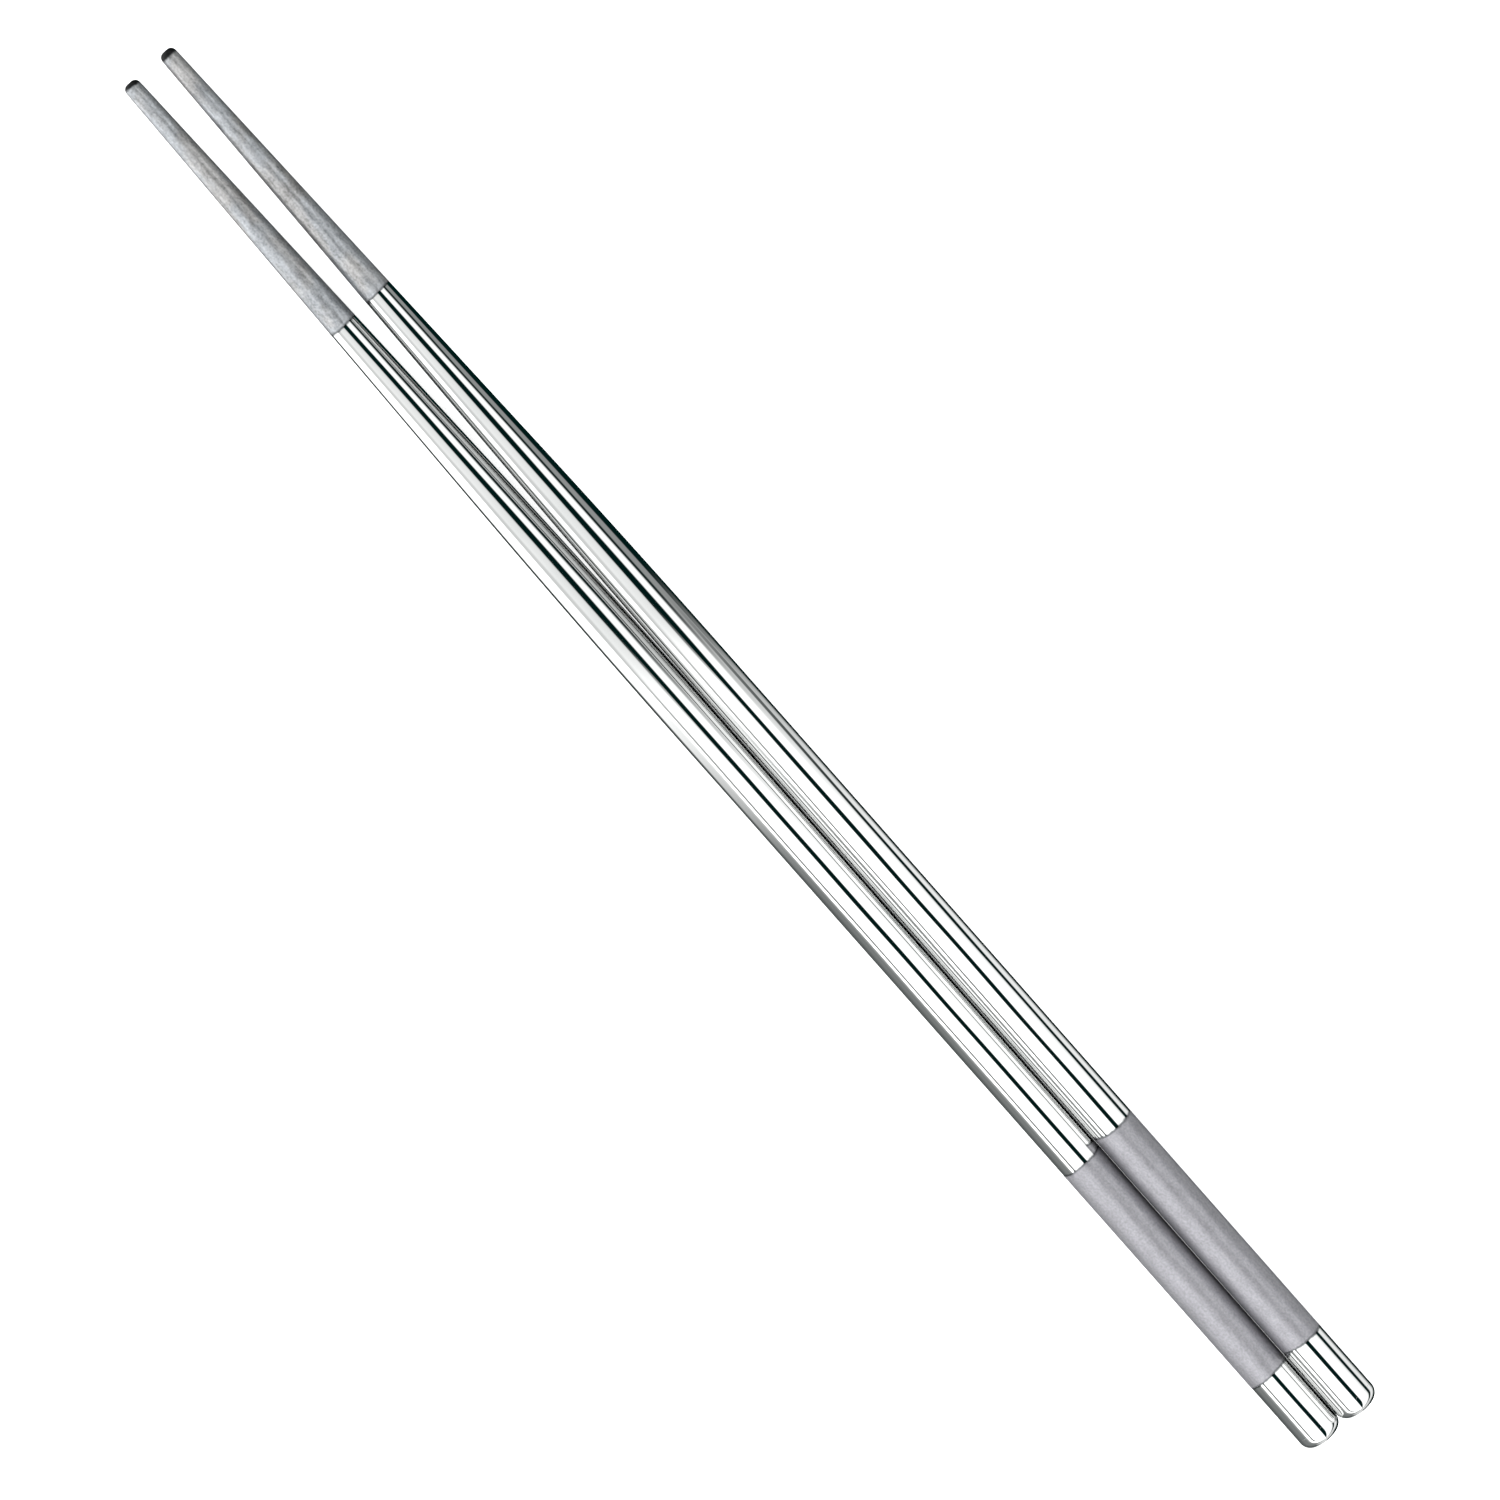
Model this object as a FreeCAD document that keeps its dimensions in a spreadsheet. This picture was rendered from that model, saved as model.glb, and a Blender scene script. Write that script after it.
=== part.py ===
import FreeCAD, Part
import math
import os

import Sketcher
from FreeCAD import Vector

# A pair of hollow stainless-steel chopsticks, lying side by side and parallel, in millimetres.
# +X runs from the tips to the handle ends, +Y from stick b to stick a, +Z up.
# The origin is under the middle of the pair, on the surface that it lies on.
#
# Each stick is a round tube swaged down to a thin tip. A solid tip plug closes the thin end and
# a hollow end cap closes the handle end. A narrow weld ring, ground flush, joins each to the tube.
# Every outline is drawn in the stick's own frame: X along the stick from the tip, Y the radius.

SIZES = {
    # the whole stick
    "stick_length": 230.0,
    "tube_diameter": 6.0,
    "tube_wall": 0.6,
    "stick_gap": 0.06,  # air between the two parallel handles
    # the swaged taper: a cone that blends into the cylinder
    "tip_diameter": 2.25,
    "taper_corner": 85.4,  # where the cone would meet the cylinder, from the tip
    "taper_blend": 20.0,  # reach of the blend on each side of that corner
    "tip_bore": 0.84,  # the bore left at the tube's thin end
    # bands of bead-blasted finish
    "blasted_tip": 40.0,
    "blasted_grip": 36.9,
    "polished_end": 11.8,
    # tip plug
    "nose_length": 1.6,
    "nose_rounding": 0.8,
    "shank_diameter": 0.8,
    "shank_length": 6.0,
    "shank_chamfer": 0.12,
    # end cap
    "cap_length": 2.4,
    "cap_rounding": 1.6,
    "cap_wall": 1.0,
    "cap_bore": 3.4,
    "spigot_length": 4.0,
    "spigot_clearance": 0.02,  # radial, inside the tube
    "spigot_chamfer": 0.25,
    # weld rings: width on the surface is twice the depth
    "tip_weld_depth": 0.2,
    "end_weld_depth": 0.25,
}

# Places and radii that follow from the sizes, as expressions of the sheet
TUBE_R = "sizes.tube_diameter / 2"
BORE_R = "(sizes.tube_diameter / 2 - sizes.tube_wall)"
TIP_R = "sizes.tip_diameter / 2"
TIP_BORE_R = "sizes.tip_bore / 2"
SHANK_R = "sizes.shank_diameter / 2"
SPIGOT_R = f"({BORE_R} - sizes.spigot_clearance)"
CAP_BORE_R = "sizes.cap_bore / 2"
TIP_SEAM = "sizes.nose_length"
END_SEAM = "(sizes.stick_length - sizes.cap_length)"
GRIP_END = "(sizes.stick_length - sizes.polished_end)"
GRIP_START = f"({GRIP_END} - sizes.blasted_grip)"
BLEND_START = "(sizes.taper_corner - sizes.taper_blend)"


def cone_radius(x):
    """The taper's outer radius at x, before its blend into the cylinder."""
    slope = "(sizes.tube_diameter - sizes.tip_diameter) / 2 / sizes.taper_corner"
    return f"({TIP_R} + ({x}) * {slope})"


def bore_radius(x):
    """The taper's bore radius at x, before its blend into the straight bore."""
    slope = f"({BORE_R} - {TIP_BORE_R}) / (sizes.taper_corner - {TIP_SEAM})"
    return f"({TIP_BORE_R} + (({x}) - {TIP_SEAM}) * {slope})"


def blend_end(radius_at, straight_radius):
    """Where an arc that leaves the cone at BLEND_START meets the straight radius, tangent to both."""
    rise = f"({straight_radius} - {radius_at(BLEND_START)})"
    return f"(sizes.taper_corner + sqrt(sizes.taper_blend ^ 2 + {rise} ^ 2))"


doc = FreeCAD.newDocument("chopsticks")
sheet = doc.addObject("Spreadsheet::Sheet", "sizes")
for row, (alias, size) in enumerate(SIZES.items(), start=1):
    sheet.set(f"A{row}", alias)
    sheet.set(f"B{row}", str(size))
    sheet.setAlias(f"B{row}", alias)
doc.recompute()


def value(expression):
    """The number that an expression of the sheet gives."""
    return float(sheet.evalExpression(expression))


def clockwise_arc(left, right):
    """The arc from left to right that is level at right, with its centre below them."""
    reach, drop = right.x - left.x, right.y - left.y
    radius = (reach**2 + drop**2) / (2 * drop)
    circle = Part.Circle(Vector(right.x, right.y - radius, 0), Vector(0, 0, 1), radius)
    return Part.ArcOfCircle(circle, math.pi / 2, math.pi / 2 + math.asin(reach / radius))


def outline(body, corners, arcs=()):
    """A closed sketch through corners, each an (x, radius) pair of expressions.

    The side that starts at a corner whose index is in arcs is an arc, level at its right end.
    """
    sketch = body.newObject("Sketcher::SketchObject", f"{body.Name}_outline")
    planes = {plane.Role: plane for plane in body.Origin.OriginFeatures}
    sketch.AttachmentSupport = [(planes["XY_Plane"], "")]
    sketch.MapMode = "FlatFace"
    points = [Vector(value(x), value(radius), 0) for x, radius in corners]
    starts, ends = [], []  # which end of each side is at the corner before and after it
    level_corners = set()
    for i, point in enumerate(points):
        following = points[(i + 1) % len(points)]
        rightward = point.x < following.x
        if i in arcs:
            left, right = (point, following) if rightward else (following, point)
            sketch.addGeometry(clockwise_arc(left, right))
            level_corners.add(i + 1 if rightward else i)
        else:
            sketch.addGeometry(Part.LineSegment(point, following))
        backward = i in arcs and rightward  # an arc always starts at its right end
        starts.append(2 if backward else 1)
        ends.append(1 if backward else 2)
    for i, corner in enumerate(corners):
        meeting = "Tangent" if i in level_corners else "Coincident"
        before = (i - 1) % len(corners)
        sketch.addConstraint(Sketcher.Constraint(meeting, before, ends[before], i, starts[i]))
        for kind, axis, expression in zip(("DistanceX", "DistanceY"), (-2, -1), corner):
            place = value(expression)
            if place == 0:
                sketch.addConstraint(Sketcher.Constraint("PointOnObject", i, starts[i], axis))
                continue
            index = sketch.addConstraint(Sketcher.Constraint(kind, -1, 1, i, starts[i], place))
            sketch.setExpression(f"Constraints[{index}]", expression)
    doc.recompute()
    return sketch


def turned(label, corners, arcs=()):
    """A body turned about the stick's axis from an outline."""
    body = doc.addObject("PartDesign::Body", label)
    sketch = outline(body, corners, arcs)
    turn = body.newObject("PartDesign::Revolution", f"{label}_turned")
    turn.Profile = sketch
    turn.ReferenceAxis = (sketch, ["H_Axis"])
    turn.Angle = 360
    turn.Refine = False  # the outer face stays split where the finish changes
    sketch.Visibility = False
    doc.recompute()
    return body


def dress(body, kind, x, radius, size):
    """A Fillet or Chamfer of the round edge at x with that radius."""
    base = body.Tip
    wanted = (value(x), value(radius))
    edges = [
        f"Edge{i}" for i, edge in enumerate(base.Shape.Edges, start=1)
        if isinstance(edge.Curve, Part.Circle)
        and math.dist((edge.Curve.Center.x, edge.Curve.Radius), wanted) < 1e-6
    ]
    feature = body.newObject(f"PartDesign::{kind}", f"{body.Name}_{kind.lower()}")
    feature.Base = (base, edges)
    feature.setExpression("Radius" if kind == "Fillet" else "Size", size)
    doc.recompute()


def tube(label):
    """The swaged tube. Its rims are bevelled for the two weld rings."""
    tip_bevel = f"({TIP_SEAM} + sizes.tip_weld_depth)"
    end_bevel = f"({END_SEAM} - sizes.end_weld_depth)"
    corners = [
        (TIP_SEAM, TIP_BORE_R),
        (TIP_SEAM, f"{cone_radius(TIP_SEAM)} - sizes.tip_weld_depth"),
        (tip_bevel, cone_radius(tip_bevel)),
        ("sizes.blasted_tip", cone_radius("sizes.blasted_tip")),
        (BLEND_START, cone_radius(BLEND_START)),
        (blend_end(cone_radius, TUBE_R), TUBE_R),
        (GRIP_START, TUBE_R),
        (GRIP_END, TUBE_R),
        (end_bevel, TUBE_R),
        (END_SEAM, f"{TUBE_R} - sizes.end_weld_depth"),
        (END_SEAM, BORE_R),
        (blend_end(bore_radius, BORE_R), BORE_R),
        (BLEND_START, bore_radius(BLEND_START)),
    ]
    return turned(label, corners, arcs=(4, 11))


def tip_plug(label):
    """The solid nose that the food meets, with a shank that centres it in the tube."""
    shank_end = f"({TIP_SEAM} + sizes.shank_length)"
    bevel = f"({TIP_SEAM} - sizes.tip_weld_depth)"
    body = turned(label, [
        ("0", "0"),
        ("0", TIP_R),
        (bevel, cone_radius(bevel)),
        (TIP_SEAM, f"{cone_radius(TIP_SEAM)} - sizes.tip_weld_depth"),
        (TIP_SEAM, SHANK_R),
        (shank_end, SHANK_R),
        (shank_end, "0"),
    ])
    dress(body, "Fillet", "0", TIP_R, "sizes.nose_rounding")
    dress(body, "Chamfer", shank_end, SHANK_R, "sizes.shank_chamfer")
    return body


def end_cap(label):
    """The rounded cap with a hollow spigot inside the tube."""
    spigot_end = f"({END_SEAM} - sizes.spigot_length)"
    bottom = "(sizes.stick_length - sizes.cap_wall)"
    body = turned(label, [
        ("sizes.stick_length", "0"),
        ("sizes.stick_length", TUBE_R),
        (f"{END_SEAM} + sizes.end_weld_depth", TUBE_R),
        (END_SEAM, f"{TUBE_R} - sizes.end_weld_depth"),
        (END_SEAM, SPIGOT_R),
        (spigot_end, SPIGOT_R),
        (spigot_end, CAP_BORE_R),
        (bottom, CAP_BORE_R),
        (bottom, "0"),
    ])
    dress(body, "Fillet", "sizes.stick_length", TUBE_R, "sizes.cap_rounding")
    dress(body, "Chamfer", spigot_end, SPIGOT_R, "sizes.spigot_chamfer")
    return body


def weld_ring(label, seam, depth, radius_at):
    """The V-shaped ring of weld metal round a seam, flush with the surface."""
    before, after = f"({seam} - {depth})", f"({seam} + {depth})"
    return turned(label, [
        (before, radius_at(before)),
        (after, radius_at(after)),
        (seam, f"{radius_at(seam)} - {depth}"),
    ])


def stick(name, side):
    """One stick's five pieces, placed on the given side of the middle."""
    pieces = [
        tube(f"{name}_tube"),
        tip_plug(f"{name}_tip_plug"),
        end_cap(f"{name}_end_cap"),
        weld_ring(f"{name}_tip_weld", TIP_SEAM, "sizes.tip_weld_depth", cone_radius),
        weld_ring(f"{name}_end_weld", END_SEAM, "sizes.end_weld_depth", lambda x: TUBE_R),
    ]
    for piece in pieces:
        piece.setExpression("Placement.Base.x", "-sizes.stick_length / 2")
        piece.setExpression("Placement.Base.y", f"{side} * (sizes.tube_diameter + sizes.stick_gap) / 2")
        piece.setExpression("Placement.Base.z", TUBE_R)
    return pieces


subparts = stick("stick_a", 1) + stick("stick_b", -1)
doc.recompute()

for item in doc.Objects:
    if {"Invalid", "Error"} & set(item.State):
        raise RuntimeError(f"{item.Label} failed: {item.State}")
for piece in subparts:
    if piece.Shape.isNull() or not piece.Shape.isValid() or len(piece.Shape.Solids) != 1:
        raise RuntimeError(f"{piece.Label} is not one valid solid")

os.makedirs("parts", exist_ok=True)
for piece in subparts:
    piece.Shape.exportStep(f"parts/{piece.Label}.step")
    print(f"{piece.Label}: {piece.Shape.Volume:.3f} mm3, {piece.Shape.BoundBox}")
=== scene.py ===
import math

import bmesh
import bpy
from mathutils import Matrix, Vector, noise


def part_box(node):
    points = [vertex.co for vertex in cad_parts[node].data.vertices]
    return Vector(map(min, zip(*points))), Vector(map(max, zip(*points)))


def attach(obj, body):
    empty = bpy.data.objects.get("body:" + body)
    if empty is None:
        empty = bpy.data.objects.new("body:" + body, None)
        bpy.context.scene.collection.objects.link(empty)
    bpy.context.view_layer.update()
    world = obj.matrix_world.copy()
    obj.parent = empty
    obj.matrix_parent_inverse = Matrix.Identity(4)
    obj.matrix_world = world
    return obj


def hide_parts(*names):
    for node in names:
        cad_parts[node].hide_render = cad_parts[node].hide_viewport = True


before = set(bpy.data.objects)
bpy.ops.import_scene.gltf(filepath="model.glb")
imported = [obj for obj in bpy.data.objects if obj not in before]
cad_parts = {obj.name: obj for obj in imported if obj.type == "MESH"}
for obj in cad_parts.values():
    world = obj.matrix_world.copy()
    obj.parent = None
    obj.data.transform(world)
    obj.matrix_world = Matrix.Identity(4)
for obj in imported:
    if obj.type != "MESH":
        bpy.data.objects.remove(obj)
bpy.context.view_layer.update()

# A pair of hollow stainless-steel chopsticks: a blasted tip, a mirror-polished shaft, a blasted grip
# band and a polished rounded end. Each piece is turned about its stick's axis as a closed mesh with
# round, fine facets, in place of the coarser CAD piece of the same size.
# Lengths are in millimetres along the stick from its tip until a mesh is made, which is in metres.

MM = 0.001
STICKS = ("stick_a", "stick_b")

# Sizes that the boxes of the CAD pieces don't show
TAPER_CORNER = 85.4  # where the tapered cone would meet the cylinder
TAPER_BLEND = 20.0  # reach of the blend on each side of that corner
TIP_RADIUS = 1.125
TUBE_WALL = 0.6
TIP_BORE_RADIUS = 0.42
NOSE_ROUNDING = 0.8
SHANK_RADIUS = 0.4
SHANK_CHAMFER = 0.12
CAP_ROUNDING = 1.6
CAP_WALL = 1.0
CAP_BORE_RADIUS = 1.7
SPIGOT_CLEARANCE = 0.02
SPIGOT_CHAMFER = 0.25

# The bead-blasted bands, which differ a little between the sticks, because they are masked by hand
BLASTED_TIP = {"stick_a": 39.9, "stick_b": 40.2}
GRIP = {"stick_a": (180.9, 217.9), "stick_b": (181.9, 218.5)}

# Meshes
SEGMENTS = 128  # round the stick
RING_STEP = 1.5  # along the stick
BORE_STEP = 6.0
ROUNDING_STEPS = 12
SHARP_TURN = math.radians(25)
SWAGE_WAVE = 0.02  # depth of the faint waves that swaging and polishing leave in the tube
SWAGE_WAVE_LENGTH = 12.0
SWAGE_WAVE_WIDTH = 2.4
SWAGE_WAVE_SHIFT = 10.0  # from one stick's waves to the other's, so that they differ
UNSWAGED_RINGS = 2  # at each end of the tube's outside, which meet the welds without waves


def tip_of(stick):
    """Where the stick's tip is along X, in metres."""
    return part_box(stick + "_tip_plug")[0][0]


def box_in_stick(stick, part):
    """A CAD piece's start and end along its stick, and its greatest radius, in millimetres."""
    tip_x = tip_of(stick)
    low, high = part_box(f"{stick}_{part}")
    return (low[0] - tip_x) / MM, (high[0] - tip_x) / MM, (high[2] - low[2]) / 2 / MM


# ---------------------------------------------------------------- meshes

def tapered_radius(x, start, start_radius, end_radius):
    """Radius at x of a cone from start that blends into a cylinder by one tangent arc."""
    slope = math.atan((end_radius - start_radius) / (TAPER_CORNER - start))
    tangent = TAPER_BLEND / math.cos(slope)
    blend_radius = tangent / math.tan(slope / 2)
    blend_end = TAPER_CORNER + tangent
    if x >= blend_end:
        return end_radius
    if x <= TAPER_CORNER - TAPER_BLEND:
        return start_radius + (x - start) * math.tan(slope)
    return end_radius - blend_radius + math.sqrt(blend_radius**2 - (blend_end - x) ** 2)


def stations(start, end, step):
    """Evenly spaced places from start to end, about step apart."""
    count = max(1, math.ceil((end - start) / step))
    return [start + (end - start) * i / count for i in range(count + 1)]


def quarter_round(centre_x, centre_radius, rounding, start_angle, end_angle):
    """Points (x, radius) on an arc. An angle of 0 points along +X and 90 degrees away from the axis."""
    points = []
    for i in range(ROUNDING_STEPS + 1):
        angle = math.radians(start_angle + (end_angle - start_angle) * i / ROUNDING_STEPS)
        points.append((centre_x + rounding * math.cos(angle), centre_radius + rounding * math.sin(angle)))
    return points


def swage_wave(x, around, phase):
    """How far the wavy surface lies under the true one, from 0 to SWAGE_WAVE."""
    across = (math.cos(around) * SWAGE_WAVE_WIDTH, math.sin(around) * SWAGE_WAVE_WIDTH)
    place = Vector((x / SWAGE_WAVE_LENGTH, *across))
    return SWAGE_WAVE * (0.5 + 0.5 * noise.noise(place + Vector((0, 0, phase))))


def turned_mesh(name, stick, outline, wavy=()):
    """A closed mesh turned about a stick's axis from an outline of (x, radius) points.

    The outline starts and ends on the axis, or it is a ring that never meets the axis.
    The points whose index is in wavy get the swaged tube's faint waves.
    """
    low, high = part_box(stick + "_tube")
    origin = Vector((tip_of(stick), (low[1] + high[1]) / 2, (low[2] + high[2]) / 2))
    phase = SWAGE_WAVE_SHIFT * STICKS.index(stick)
    mesh_edit = bmesh.new()
    rings = []
    for index, (x, radius) in enumerate(outline):
        if radius == 0:
            rings.append([mesh_edit.verts.new(origin + Vector((x, 0, 0)) * MM)])
            continue
        ring = []
        for step in range(SEGMENTS):
            around = 2 * math.pi * step / SEGMENTS
            depth = swage_wave(x, around, phase) if index in wavy else 0
            reach = radius - depth
            place = Vector((x, reach * math.sin(around), reach * math.cos(around)))
            ring.append(mesh_edit.verts.new(origin + place * MM))
        rings.append(ring)
    is_ring = outline[0][1] > 0
    pairs = list(zip(rings, rings[1:]))
    if is_ring:
        pairs.append((rings[-1], rings[0]))
    for before, after in pairs:
        for step in range(SEGMENTS):
            following = (step + 1) % SEGMENTS
            corners = [before[step % len(before)], before[following % len(before)],
                       after[following % len(after)], after[step % len(after)]]
            mesh_edit.faces.new(list(dict.fromkeys(corners)))
    bmesh.ops.recalc_face_normals(mesh_edit, faces=mesh_edit.faces)
    for face in mesh_edit.faces:
        face.smooth = True
    for edge in mesh_edit.edges:
        edge.smooth = edge.calc_face_angle(0) < SHARP_TURN
    mesh = bpy.data.meshes.new(name)
    mesh_edit.to_mesh(mesh)
    mesh_edit.free()
    piece = bpy.data.objects.new(name, mesh)
    bpy.context.scene.collection.objects.link(piece)
    return piece


def tube_outline(stick):
    """The tube's outer side from its tip rim to its end rim, then back along the bore.

    With it come the indexes of the outer points that get waves.
    """
    start, end, radius = box_in_stick(stick, "tube")
    outer_start = box_in_stick(stick, "tip_weld")[1]
    outer_end = box_in_stick(stick, "end_weld")[0]
    outer = [
        (x, tapered_radius(x, 0, TIP_RADIUS, radius))
        for x in stations(outer_start, outer_end, RING_STEP)
    ]
    bore = [
        (x, tapered_radius(x, start, TIP_BORE_RADIUS, radius - TUBE_WALL))
        for x in stations(start, end, BORE_STEP)
    ]
    tip_rim = (start, tapered_radius(start, 0, TIP_RADIUS, radius) - (outer_start - start))
    end_rim = (end, radius - (end - outer_end))
    wavy = range(1 + UNSWAGED_RINGS, 1 + len(outer) - UNSWAGED_RINGS)
    return [tip_rim, *outer, end_rim, *reversed(bore)], wavy


def plug_outline(stick):
    """The solid nose with its rounded rim, a bevel for the weld, and the shank inside the tube."""
    start, end, _ = box_in_stick(stick, "tip_plug")
    seam, _, tube_radius = box_in_stick(stick, "tube")
    bevel_start = box_in_stick(stick, "tip_weld")[0]
    bevel_radius = tapered_radius(bevel_start, 0, TIP_RADIUS, tube_radius)
    seam_radius = tapered_radius(seam, 0, TIP_RADIUS, tube_radius) - (seam - bevel_start)
    nose_x, nose_radius = start + NOSE_ROUNDING, TIP_RADIUS - NOSE_ROUNDING
    rounding = quarter_round(nose_x, nose_radius, NOSE_ROUNDING, 180, 90)
    return [
        (start, 0),
        *rounding,
        (bevel_start, bevel_radius),
        (seam, seam_radius),
        (seam, SHANK_RADIUS),
        (end - SHANK_CHAMFER, SHANK_RADIUS),
        (end, SHANK_RADIUS - SHANK_CHAMFER),
        (end, 0),
    ]


def cap_outline(stick):
    """The rounded end cap with its hollow spigot, from the middle of its end face."""
    start, end, radius = box_in_stick(stick, "end_cap")
    seam = box_in_stick(stick, "tube")[1]
    bevel = box_in_stick(stick, "end_weld")[1] - seam
    spigot_radius = radius - TUBE_WALL - SPIGOT_CLEARANCE
    rounding = quarter_round(end - CAP_ROUNDING, radius - CAP_ROUNDING, CAP_ROUNDING, 0, 90)
    return [
        (end, 0),
        *rounding,
        (seam + bevel, radius),
        (seam, radius - bevel),
        (seam, spigot_radius),
        (start + SPIGOT_CHAMFER, spigot_radius),
        (start, spigot_radius - SPIGOT_CHAMFER),
        (start, CAP_BORE_RADIUS),
        (end - CAP_WALL, CAP_BORE_RADIUS),
        (end - CAP_WALL, 0),
    ]


def weld_outline(stick, weld):
    """A V-shaped ring of weld metal, flush with the surface on both sides of its seam."""
    start, end, _ = box_in_stick(stick, weld)
    tube_radius = box_in_stick(stick, "tube")[2]
    middle = (start + end) / 2
    surface = [(x, tapered_radius(x, 0, TIP_RADIUS, tube_radius)) for x in (start, middle, end)]
    root = (middle, surface[1][1] - (end - start) / 2)
    return [*surface, root]


# ---------------------------------------------------------------- nodes

def add_node(tree, kind, inputs=(), **settings):
    """Adds a node. Each input is a value or another node's output, by name or number."""
    made = tree.nodes.new(kind)
    for name, setting in settings.items():
        setattr(made, name, setting)
    for name, given in dict(inputs).items():
        if isinstance(given, bpy.types.NodeSocket):
            tree.links.new(given, made.inputs[name])
        else:
            made.inputs[name].default_value = given
    return made


def calculate(tree, operation, *values):
    """One Math node's output."""
    return add_node(tree, "ShaderNodeMath", enumerate(values), operation=operation).outputs[0]


def smooth_step(tree, value, low, high):
    """0 below low, 1 above high, and a smooth rise between."""
    inputs = {"Value": value, "From Min": low, "From Max": high}
    return add_node(tree, "ShaderNodeMapRange", inputs, interpolation_type="SMOOTHSTEP").outputs["Result"]


def rescale(tree, value, low, high):
    """A value from 0 to 1 turned into one from low to high."""
    inputs = {"Value": value, "To Min": low, "To Max": high}
    return add_node(tree, "ShaderNodeMapRange", inputs).outputs["Result"]


def grain(tree, coordinates, size, stretch=(1, 1, 1), detail=2.0):
    """Noise whose patches are about size metres wide, longer where stretch is more than 1."""
    scale = tuple(1 / (size * s) for s in stretch)
    scaled = add_node(tree, "ShaderNodeMapping", {"Vector": coordinates, "Scale": scale})
    inputs = {"Vector": scaled.outputs["Vector"], "Scale": 1.0, "Detail": detail}
    return add_node(tree, "ShaderNodeTexNoise", inputs).outputs["Fac"]


def mix(tree, factor, low, high):
    """A colour between low and high."""
    inputs = {"Factor": factor, "A": low, "B": high}
    made = tree.nodes.new("ShaderNodeMix")
    made.data_type = "RGBA"
    for name, given in inputs.items():
        socket = next(s for s in made.inputs if s.name == name and (s.type == "RGBA") == (name != "Factor"))
        if isinstance(given, bpy.types.NodeSocket):
            tree.links.new(given, socket)
        else:
            socket.default_value = given
    return next(s for s in made.outputs if s.type == "RGBA")


# ---------------------------------------------------------------- steel

POLISHED = (0.62, 0.624, 0.62, 1)
POLISHED_SMUDGE = (0.59, 0.598, 0.594, 1)
BLASTED_GRIP_COLOUR = (0.298, 0.294, 0.314, 1)
BLASTED_TIP_COOL = (0.325, 0.337, 0.353, 1)
BLASTED_TIP_WARM = (0.34, 0.335, 0.333, 1)
MASK_LINE = (0.08, 0.085, 0.09, 1)
MASK_LINE_STRENGTH = 0.9
# Painted dark reflection: the nose's colour is made near black in place of the dark horizon and shadow that
# its rounded end reflects
PAINTED_DARK_NOSE = (0.015, 0.0155, 0.0165, 1)
PAINTED_DARK_NOSE_REACH = (0.6, 1.0)  # where the painted dark reflection on the nose starts to fade and where it ends
POLISHED_ROUGHNESS = (0.02, 0.05)
TIP_ROUGHNESS = (0.4, 0.48)
GRIP_ROUGHNESS = (0.44, 0.52)
TIP_METALLIC = 0.9  # below 1, because the pits scatter part of the light evenly
GRIP_METALLIC = 0.84
TIP_MOTTLE, TIP_GRIT = 0.85, 1.0  # how strongly patches and grains of the blasted bands differ
GRIP_MOTTLE, GRIP_GRIT = 0.25, 0.55
MASK_EDGE = 0.08 * MM  # half the width over which one finish turns into the other
MASK_WOBBLE = 0.12 * MM
MASK_DRIFT = 0.35 * MM  # how far a hand-laid mask strays round the stick
MASK_LINE_WIDTH = 0.3 * MM

# How wide the patches of each pattern are, and how many times wider along X, Y and Z
MASK_WOBBLE_PATCH = 0.5 * MM
MASK_DRIFT_PATCH = 4.0 * MM
TINT_PATCH, TINT_STRETCH = 3.0 * MM, (2, 1, 1)
MOTTLE_PATCH, MOTTLE_STRETCH = 1.3 * MM, (1.4, 1, 1)
STREAK_WIDTH, STREAK_STRETCH = 0.4 * MM, (7, 1, 1)
GRIT_SIZE = 0.3 * MM
SMUDGE_PATCH, SMUDGE_STRETCH = 6.0 * MM, (2.5, 1, 1)
ROUGHNESS_PATCH = 2.0 * MM
SCRATCH_WIDTH, SCRATCH_STRETCH = 0.05 * MM, (60, 1, 1)
PIT_SIZE = 0.11 * MM

# The noise levels at which a pattern starts and is full
TINT_FROM = (0.4, 0.62)
SMUDGE_COLOUR_FROM = (0.45, 0.7)
SMUDGE_ROUGHNESS_FROM = (0.4, 0.7)

# Bump strengths and heights
SCRATCH_STRENGTH, SCRATCH_DEPTH = 0.02, 0.002 * MM
PIT_STRENGTH, PIT_DEPTH = 0.8, 0.02 * MM


def band_mask(tree, x, bands):
    """1 on the blasted bands and 0 off them, and how near the place is to a band's edge."""
    inside, near = 0.0, 0.0
    for start, end in bands:
        rise = smooth_step(tree, x, start - MASK_EDGE, start + MASK_EDGE)
        fall = smooth_step(tree, x, end + MASK_EDGE, end - MASK_EDGE)
        inside = calculate(tree, "MAXIMUM", inside, calculate(tree, "MULTIPLY", rise, fall))
        for edge in (start, end):
            distance = calculate(tree, "ABSOLUTE", calculate(tree, "SUBTRACT", x, edge))
            closeness = smooth_step(tree, distance, MASK_LINE_WIDTH, 0.0)
            near = calculate(tree, "MAXIMUM", near, closeness)
    return inside, near


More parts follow.
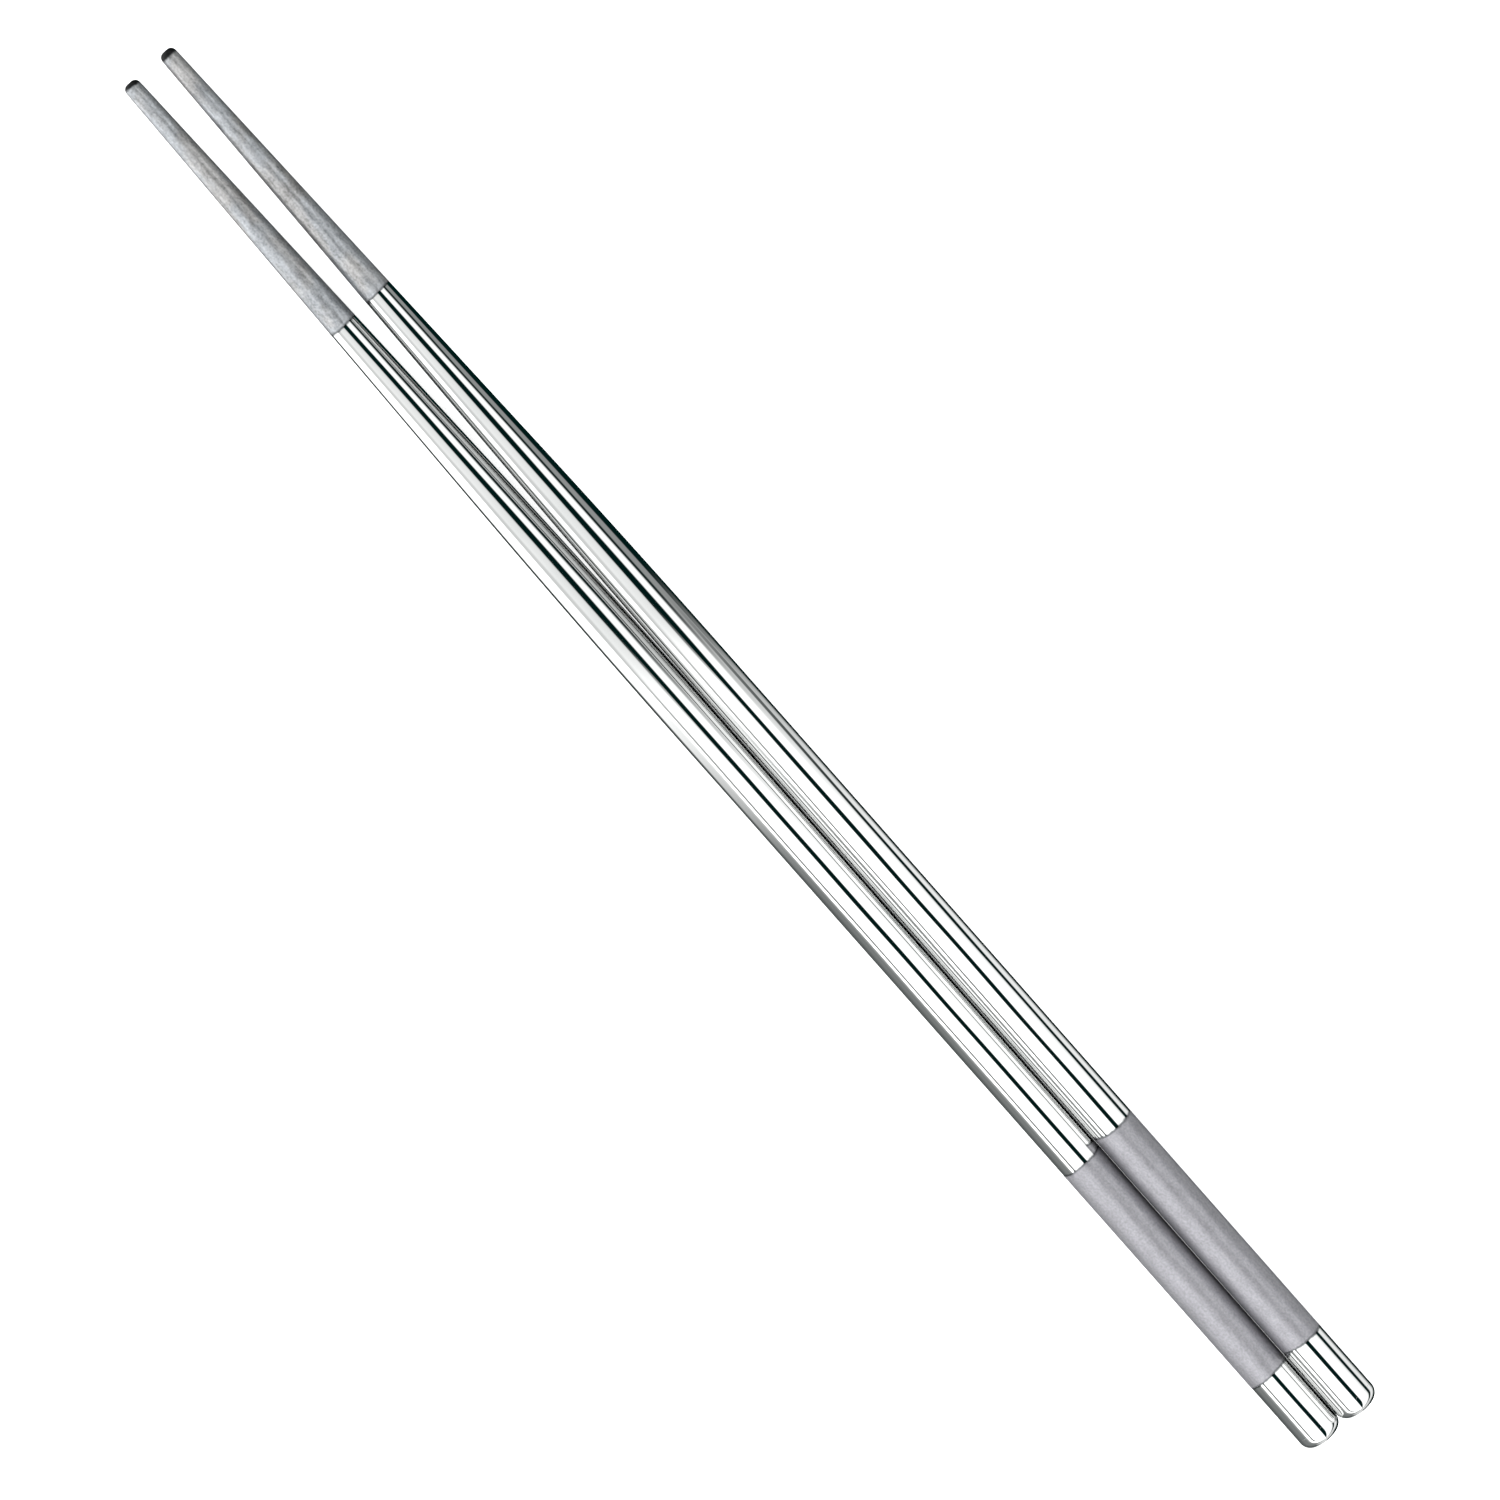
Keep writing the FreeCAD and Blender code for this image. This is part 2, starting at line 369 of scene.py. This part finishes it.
def blasted_colour(tree, place, at_tip):
    """The blasted bands' colour: mottled and streaked at the tip, evenly gritty at the grip."""
    tint = smooth_step(tree, grain(tree, place, TINT_PATCH, TINT_STRETCH), *TINT_FROM)
    tip_colour = mix(tree, tint, BLASTED_TIP_COOL, BLASTED_TIP_WARM)
    colour = mix(tree, at_tip, BLASTED_GRIP_COLOUR, tip_colour)
    mottle = grain(tree, place, MOTTLE_PATCH, MOTTLE_STRETCH, detail=3.0)
    streak = grain(tree, place, STREAK_WIDTH, STREAK_STRETCH, detail=3.0)
    grit = grain(tree, place, GRIT_SIZE, detail=1.0)
    patches = calculate(tree, "SUBTRACT", calculate(tree, "ADD", mottle, streak), 1.0)
    patches = calculate(tree, "MULTIPLY", patches, rescale(tree, at_tip, GRIP_MOTTLE, TIP_MOTTLE))
    grains = calculate(tree, "SUBTRACT", grit, 0.5)
    grains = calculate(tree, "MULTIPLY", grains, rescale(tree, at_tip, GRIP_GRIT, TIP_GRIT))
    brightness = calculate(tree, "ADD", calculate(tree, "ADD", patches, grains), 1.0)
    inputs = {"Vector": colour, "Scale": brightness}
    return add_node(tree, "ShaderNodeVectorMath", inputs, operation="SCALE").outputs["Vector"]


def steel(name, stick):
    """One stick's steel: polished, with its blasted bands where the stick has them."""
    material = bpy.data.materials.new(name)
    material.use_nodes = True
    tree = material.node_tree
    shader = tree.nodes["Principled BSDF"]
    place = add_node(tree, "ShaderNodeTexCoord").outputs["Object"]
    x = add_node(tree, "ShaderNodeSeparateXYZ", {0: place}).outputs["X"]
    tip_x = tip_of(stick)
    tip_band = (tip_x - MM, tip_x + BLASTED_TIP[stick] * MM)  # from off the tip, so only one edge shows
    grip_band = tuple(tip_x + edge * MM for edge in GRIP[stick])
    ragged = rescale(tree, grain(tree, place, MASK_WOBBLE_PATCH), -MASK_WOBBLE, MASK_WOBBLE)
    drift = grain(tree, place, MASK_DRIFT_PATCH, detail=0.0)
    drift = rescale(tree, drift, -MASK_DRIFT, MASK_DRIFT)
    ragged_x = calculate(tree, "ADD", calculate(tree, "ADD", x, ragged), drift)
    blasted, near_edge = band_mask(tree, ragged_x, (tip_band, grip_band))
    at_tip = smooth_step(tree, x, MM, -MM)  # the middle of the pair is between the two bands

    smudge = grain(tree, place, SMUDGE_PATCH, SMUDGE_STRETCH, detail=4.0)
    smudged = smooth_step(tree, smudge, *SMUDGE_COLOUR_FROM)
    polished_colour = mix(tree, smudged, POLISHED, POLISHED_SMUDGE)
    colour = mix(tree, blasted, polished_colour, blasted_colour(tree, place, at_tip))
    mask_line = calculate(tree, "MULTIPLY", near_edge, MASK_LINE_STRENGTH)
    colour = mix(tree, mask_line, colour, MASK_LINE)
    # Painted dark reflection: the colour fades to near black towards the nose, in place of the dark horizon
    # and shadow it reflects
    darkening_start, darkening_end = (tip_x + reach * MM for reach in PAINTED_DARK_NOSE_REACH)
    nose_darkening = smooth_step(tree, ragged_x, darkening_end, darkening_start)
    tree.links.new(mix(tree, nose_darkening, colour, PAINTED_DARK_NOSE), shader.inputs["Base Color"])

    dulled = smooth_step(tree, smudge, *SMUDGE_ROUGHNESS_FROM)
    polished_roughness = rescale(tree, dulled, *POLISHED_ROUGHNESS)
    patch = grain(tree, place, ROUGHNESS_PATCH)
    grip_roughness = rescale(tree, patch, *GRIP_ROUGHNESS)
    blasted_roughness = rescale(tree, at_tip, grip_roughness, rescale(tree, patch, *TIP_ROUGHNESS))
    roughness = rescale(tree, blasted, polished_roughness, blasted_roughness)
    tree.links.new(roughness, shader.inputs["Roughness"])

    blasted_metallic = rescale(tree, at_tip, GRIP_METALLIC, TIP_METALLIC)
    metallic = rescale(tree, blasted, 1.0, blasted_metallic)
    tree.links.new(metallic, shader.inputs["Metallic"])

    scratches = add_node(tree, "ShaderNodeBump", {
        "Strength": SCRATCH_STRENGTH,
        "Distance": SCRATCH_DEPTH,
        "Height": grain(tree, place, SCRATCH_WIDTH, SCRATCH_STRETCH),
    })
    pits = add_node(tree, "ShaderNodeBump", {
        "Strength": calculate(tree, "MULTIPLY", blasted, PIT_STRENGTH),
        "Distance": PIT_DEPTH,
        "Height": grain(tree, place, PIT_SIZE),
        "Normal": scratches.outputs["Normal"],
    })
    tree.links.new(pits.outputs["Normal"], shader.inputs["Normal"])
    return material


# ---------------------------------------------------------------- pieces

OUTLINES = {
    "tip_plug": plug_outline,
    "end_cap": cap_outline,
    "tip_weld": lambda stick: weld_outline(stick, "tip_weld"),
    "end_weld": lambda stick: weld_outline(stick, "end_weld"),
}


def make_stick(stick):
    """The five pieces of one stick."""
    finish = steel(stick + "_steel", stick)
    outline, wavy = tube_outline(stick)
    pieces = {"tube": turned_mesh(stick + "_turned_tube", stick, outline, wavy)}
    for part, make_outline in OUTLINES.items():
        pieces[part] = turned_mesh(f"{stick}_turned_{part}", stick, make_outline(stick))
    for part, piece in pieces.items():
        piece.data.materials.append(finish)
        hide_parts(f"{stick}_{part}")
        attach(piece, stick)


for stick in STICKS:
    make_stick(stick)


# ---------------------------------------------------------------- studio

# Light around the sticks by the angle from straight up towards stick a's side, in degrees: soft boxes
# with dark gaps between them. Angles below 0 are on stick b's side, and -180 and 180 are straight down.
LIGHT_TOWARDS_HANDLES = [
    (-180, 0.0), (-150, 0.05), (-120, 0.15), (-98, 0.25), (-84, 0.25), (-74, 0.4), (-69, 0.6), (-65, 3.6),
    (-57, 3.6), (-55, 0.3), (-47, 0.3), (-45, 2.7), (-25, 2.6), (4, 2.4), (8, 2.0), (11.5, 0.0),
    (28.5, 0.0), (32, 1.9), (50, 1.8), (74, 1.4), (84, 1.1), (88.5, 0.0), (102, 0.0), (106, 1.1),
    (126, 1.1), (138, 0.5), (147, 0.0), (180, 0.0),
]
LIGHT_TOWARDS_TIPS = [
    (-180, 0.0), (-129, 0.0), (-120, 0.5), (-114, 2.2), (-62, 2.2), (-55, 0.8), (-44, 0.85), (-35, 1.15),
    (-5, 1.05), (0, 0.9), (4, 0.0), (28, 0.0), (33, 1.4), (56, 1.4), (61, 0.9), (66, 0.0), (75, 0.0),
    (81, 0.36), (104, 0.36), (112, 0.0), (180, 0.0),
]
FLOOR_LIGHT = 0.9  # from the pale floor
SIDE_FLOOR = (-172, -168, -152, -147)  # angles where the floor on stick b's side fades in and out
FAR_FLOOR_FROM = (0.8, 0.93)  # how far a direction leans along X, either way, where the far floor starts
HORIZON_FADE = 0.1  # how far a direction leans down where the far floor is at its full strength
HANDLE_LIGHT_FROM = (0.06, 0.13)  # how far along +X a direction leans where one set turns into the other
BRIGHTEST = 4.0
STUDIO_STRENGTH = 1.19  # of all these lights
SHADE_TINT = (0.0, 0.012, 0.011)  # a little blue-green light that shows only in the dark gaps
FLOOR_COLOUR = (0.8, 0.8, 0.8, 1)
FLOOR_GLOW = 0.8  # a light table, which keeps the shadows faint
FLOOR_ROUGHNESS = 0.9
FLOOR_HALF_SIZE = 2.0


def light_ramp(tree, angle_share, lights):
    """The light's strength over BRIGHTEST at an angle from -180 to 180 degrees, given from 0 to 1."""
    ramp = add_node(tree, "ShaderNodeValToRGB", {"Fac": angle_share})
    stops = ramp.color_ramp.elements
    while len(stops) < len(lights):
        stops.new(1.0)
    for stop, (angle, strength) in zip(stops, lights):
        stop.position = (angle + 180) / 360
        level = strength / BRIGHTEST
        stop.color = (level, level, level, 1)
    return ramp.outputs["Color"]


def floor_mask(tree, direction, angle):
    """1 where a direction meets the lit floor: on stick b's side and beyond both ends of the sticks."""
    start, full_from, full_to, end = map(math.radians, SIDE_FLOOR)
    rise = smooth_step(tree, angle, start, full_from)
    beside = calculate(tree, "MULTIPLY", rise, smooth_step(tree, angle, end, full_to))
    far = smooth_step(tree, calculate(tree, "ABSOLUTE", direction["X"]), *FAR_FLOOR_FROM)
    below = smooth_step(tree, direction["Z"], 0.0, -HORIZON_FADE)
    return calculate(tree, "MAXIMUM", beside, calculate(tree, "MULTIPLY", far, below))


def make_studio_light():
    """The soft boxes, as light from all round."""
    world = bpy.data.worlds.new("studio")
    bpy.context.scene.world = world
    world.use_nodes = True
    tree = world.node_tree
    direction = add_node(tree, "ShaderNodeTexCoord").outputs["Generated"]
    split = add_node(tree, "ShaderNodeSeparateXYZ", {0: direction}).outputs
    angle = calculate(tree, "ARCTAN2", split["Y"], split["Z"])
    angle_share = calculate(tree, "MULTIPLY_ADD", angle, 1 / (2 * math.pi), 0.5)
    towards_handles = smooth_step(tree, split["X"], *HANDLE_LIGHT_FROM)
    tip_light = light_ramp(tree, angle_share, LIGHT_TOWARDS_TIPS)
    handle_light = light_ramp(tree, angle_share, LIGHT_TOWARDS_HANDLES)
    lights = mix(tree, towards_handles, tip_light, handle_light)
    floor_level = FLOOR_LIGHT / BRIGHTEST
    floor_light = (floor_level, floor_level, floor_level, 1)
    lights = mix(tree, floor_mask(tree, split, angle), lights, floor_light)
    tint = tuple(part / BRIGHTEST for part in SHADE_TINT)
    lights = add_node(tree, "ShaderNodeVectorMath", {0: lights, 1: tint}, operation="ADD").outputs["Vector"]
    background = tree.nodes["Background"]
    tree.links.new(lights, background.inputs["Color"])
    background.inputs["Strength"].default_value = BRIGHTEST * STUDIO_STRENGTH


def make_floor():
    """A plain pale sheet under the sticks."""
    mesh = bpy.data.meshes.new("floor")
    size = FLOOR_HALF_SIZE
    corners = [(-size, -size, 0), (size, -size, 0), (size, size, 0), (-size, size, 0)]
    mesh.from_pydata(corners, [], [(0, 1, 2, 3)])
    floor = bpy.data.objects.new("floor", mesh)
    bpy.context.scene.collection.objects.link(floor)
    material = bpy.data.materials.new("pale_floor")
    material.use_nodes = True
    shader = material.node_tree.nodes["Principled BSDF"]
    shader.inputs["Base Color"].default_value = FLOOR_COLOUR
    shader.inputs["Roughness"].default_value = FLOOR_ROUGHNESS
    shader.inputs["Specular IOR Level"].default_value = 0.0
    shader.inputs["Emission Color"].default_value = (1, 1, 1, 1)
    shader.inputs["Emission Strength"].default_value = FLOOR_GLOW
    mesh.materials.append(material)
    floor.visible_glossy = False


# ---------------------------------------------------------------- camera

CAMERA_DISTANCE = 0.8
CAMERA_TILT = math.radians(6.0)  # from straight above towards the tips
CAMERA_LEAN = math.radians(8.5)  # from straight above towards stick a's side
CAMERA_ROLL = math.radians(48.56)
CAMERA_AIM = Vector((-0.86 * MM, 0, 3 * MM))
LENS = 151.8
SENSOR = 36.0


def make_camera():
    """The camera above the sticks, which run from the upper left to the lower right of its view."""
    lens = bpy.data.cameras.new("camera")
    lens.lens = LENS
    lens.sensor_width = SENSOR
    camera = bpy.data.objects.new("camera", lens)
    bpy.context.scene.collection.objects.link(camera)
    turn = Matrix.Rotation(-CAMERA_LEAN, 4, "X") @ Matrix.Rotation(-CAMERA_TILT, 4, "Y")
    turn = turn @ Matrix.Rotation(CAMERA_ROLL, 4, "Z")
    back = turn @ Vector((0, 0, CAMERA_DISTANCE))
    camera.matrix_world = Matrix.Translation(CAMERA_AIM + back) @ turn
    bpy.context.scene.camera = camera


make_studio_light()
make_floor()
make_camera()
bpy.context.scene.view_settings.view_transform = "Standard"
